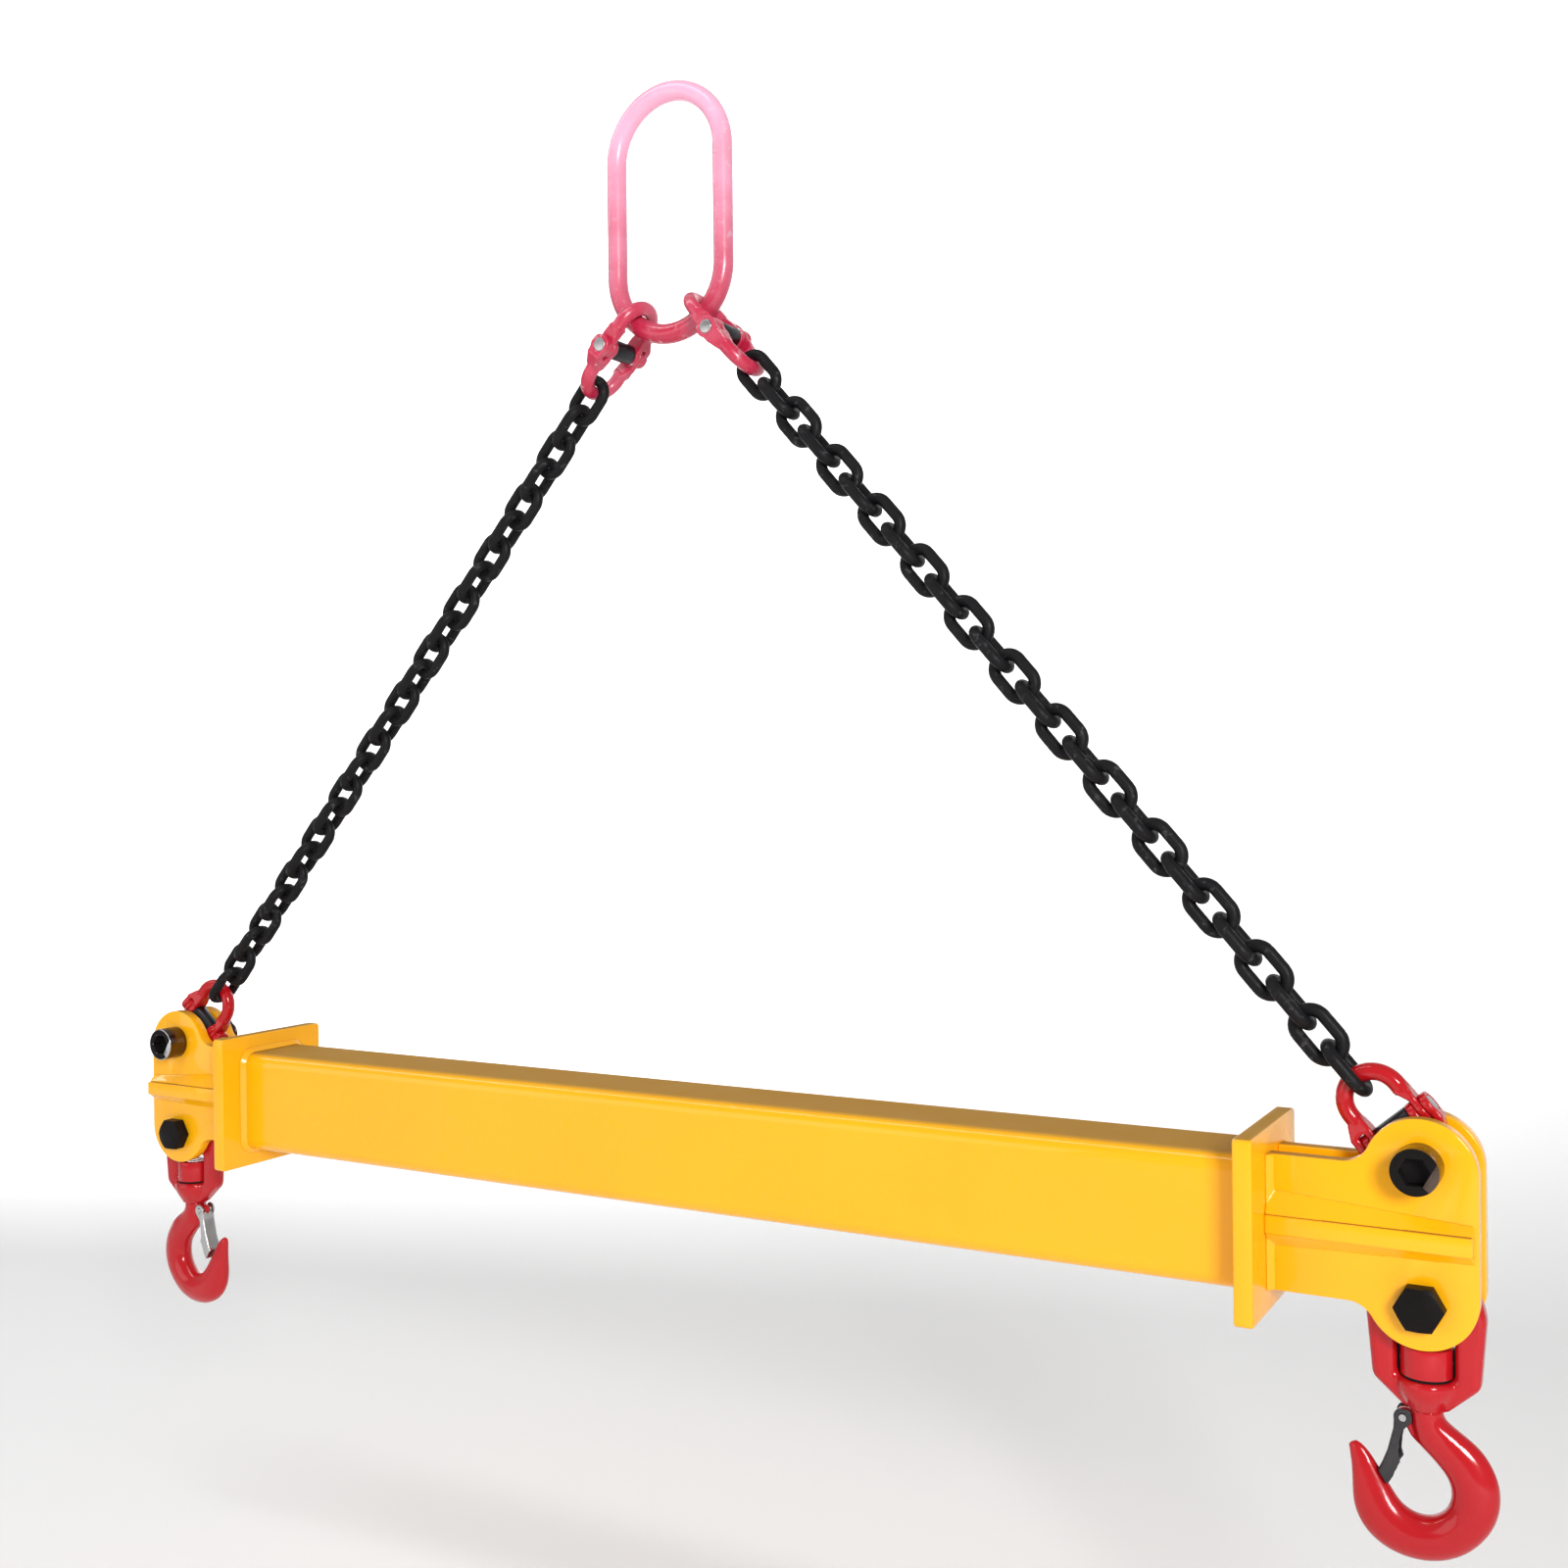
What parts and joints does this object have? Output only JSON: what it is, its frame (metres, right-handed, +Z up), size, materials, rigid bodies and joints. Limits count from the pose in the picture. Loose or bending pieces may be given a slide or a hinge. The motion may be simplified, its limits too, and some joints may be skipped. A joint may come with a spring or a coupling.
{
  "type": "spreader beam",
  "caption": "Spreader beam for lifting: box-section beam hung from a two-leg chain sling and master link, with a latched swivel hook below each end",
  "frame": {"origin": "the crown of the master link, on the inner surface where a crane hook carries it", "axes": "+X along the beam to the right-hand end seen from the front, +Y to the rear, +Z up"},
  "size_m": [1.3657, 0.135, 1.1917],
  "materials": {
    "yellow_paint": "gloss golden-yellow paint over welded steel",
    "red_paint": "gloss red paint over forged steel",
    "black_chain": "black lacquered chain, slight sheen",
    "black_steel": "black oxide fasteners",
    "plated_steel": "plain plated steel pins and washers",
    "dark_sleeve": "dark locking sleeve",
    "zinc_sheet": "dull grey galvanised sheet",
    "spring_steel": "spring wire"
  },
  "bodies": {
    "master_link": {"master_link": "red_paint"},
    "top_links": {"left_top_lock_upper_half": "red_paint", "left_top_lock_pin": "plated_steel", "left_top_lock_sleeve": "dark_sleeve", "right_top_lock_upper_half": "red_paint", "right_top_lock_pin": "plated_steel", "right_top_lock_sleeve": "dark_sleeve"},
    "left_leg": {"left_top_lock_lower_half": "red_paint", "left_chain_flat_links": "black_chain", "left_chain_edge_links": "black_chain", "left_low_lock_upper_half": "red_paint", "left_low_lock_lower_half": "red_paint", "left_low_lock_pin": "plated_steel", "left_low_lock_sleeve": "dark_sleeve"},
    "right_leg": {"right_top_lock_lower_half": "red_paint", "right_chain_flat_links": "black_chain", "right_chain_edge_links": "black_chain", "right_low_lock_upper_half": "red_paint", "right_low_lock_lower_half": "red_paint", "right_low_lock_pin": "plated_steel", "right_low_lock_sleeve": "dark_sleeve"},
    "beam": {"beam_tube": "yellow_paint", "tube_welds": "yellow_paint", "cheek_welds": "yellow_paint", "screw_nuts": "black_steel", "screw_washers": "black_steel", "bolt_nuts": "black_steel", "bolt_washers": "black_steel", "left_end_flange": "yellow_paint", "left_upper_screw": "black_steel", "left_lower_bolt": "black_steel", "left_front_cheek": "yellow_paint", "left_front_rib": "yellow_paint", "left_rear_cheek": "yellow_paint", "left_rear_rib": "yellow_paint", "right_end_flange": "yellow_paint", "right_upper_screw": "black_steel", "right_lower_bolt": "black_steel", "right_front_cheek": "yellow_paint", "right_front_rib": "yellow_paint", "right_rear_cheek": "yellow_paint", "right_rear_rib": "yellow_paint"},
    "left_bail": {"left_bail": "red_paint"},
    "left_hook": {"left_hook": "red_paint", "left_swivel_nut": "red_paint", "left_thrust_washer": "plated_steel", "left_nut_pin": "plated_steel", "left_latch_pin": "plated_steel", "left_latch_spring": "spring_steel"},
    "left_latch": {"left_latch": "zinc_sheet"},
    "right_bail": {"right_bail": "red_paint"},
    "right_hook": {"right_hook": "red_paint", "right_swivel_nut": "red_paint", "right_thrust_washer": "plated_steel", "right_nut_pin": "plated_steel", "right_latch_pin": "plated_steel", "right_latch_spring": "spring_steel"},
    "right_latch": {"right_latch": "zinc_sheet"}
  },
  "joints": [
    {"name": "front_back_swing", "type": "hinge", "parent": "master_link", "child": "top_links", "pos_m": [0, 0, -0.19416], "axis": [1, 0, 0], "range_deg": [-8, 8]},
    {"name": "left_leg_sway", "type": "hinge", "parent": "top_links", "child": "left_leg", "pos_m": [-0.05663, 0, -0.21665], "axis": [0, 1, 0], "range_deg": [-4, 4]},
    {"name": "beam_tilt", "type": "hinge", "parent": "left_leg", "child": "beam", "pos_m": [-0.635, 0, -0.88704], "axis": [0, 1, 0], "range_deg": [-1, 1]},
    {"name": "right_leg_sway", "type": "hinge", "parent": "top_links", "child": "right_leg", "pos_m": [0.05663, 0, -0.21665], "axis": [0, 1, 0], "range_deg": [-5, 5]},
    {"name": "left_bail_swing", "type": "hinge", "parent": "beam", "child": "left_bail", "pos_m": [-0.635, 0, -0.98554], "axis": [0, 1, 0], "range_deg": [-30, 30]},
    {"name": "left_hook_swivel", "type": "hinge", "parent": "left_bail", "child": "left_hook", "pos_m": [-0.635, 0, -1.04554], "axis": [0, 0, 1], "continuous": true},
    {"name": "left_latch_hinge", "type": "hinge", "parent": "left_hook", "child": "left_latch", "pos_m": [-0.61956, -0.00135, -1.07154], "axis": [0.0872, 0.9962, 0], "range_deg": [0, 35], "stiffness_Nm_per_rad": 0.03, "springref_deg": -28.65, "deforming": ["left_latch_spring"]},
    {"name": "right_bail_swing", "type": "hinge", "parent": "beam", "child": "right_bail", "pos_m": [0.635, 0, -0.98554], "axis": [0, 1, 0], "range_deg": [-30, 30]},
    {"name": "right_hook_swivel", "type": "hinge", "parent": "right_bail", "child": "right_hook", "pos_m": [0.635, 0, -1.04554], "axis": [0, 0, 1], "continuous": true},
    {"name": "right_latch_hinge", "type": "hinge", "parent": "right_hook", "child": "right_latch", "pos_m": [0.6195, 0, -1.07154], "axis": [0, -1, 0], "range_deg": [0, 35], "stiffness_Nm_per_rad": 0.03, "springref_deg": -28.65, "deforming": ["right_latch_spring"]}
  ],
  "couplings": [
    {"joint": "beam_tilt", "follows": "left_leg_sway", "ratio": -0.08919},
    {"joint": "right_leg_sway", "follows": "left_leg_sway", "ratio": 1}
  ]
}
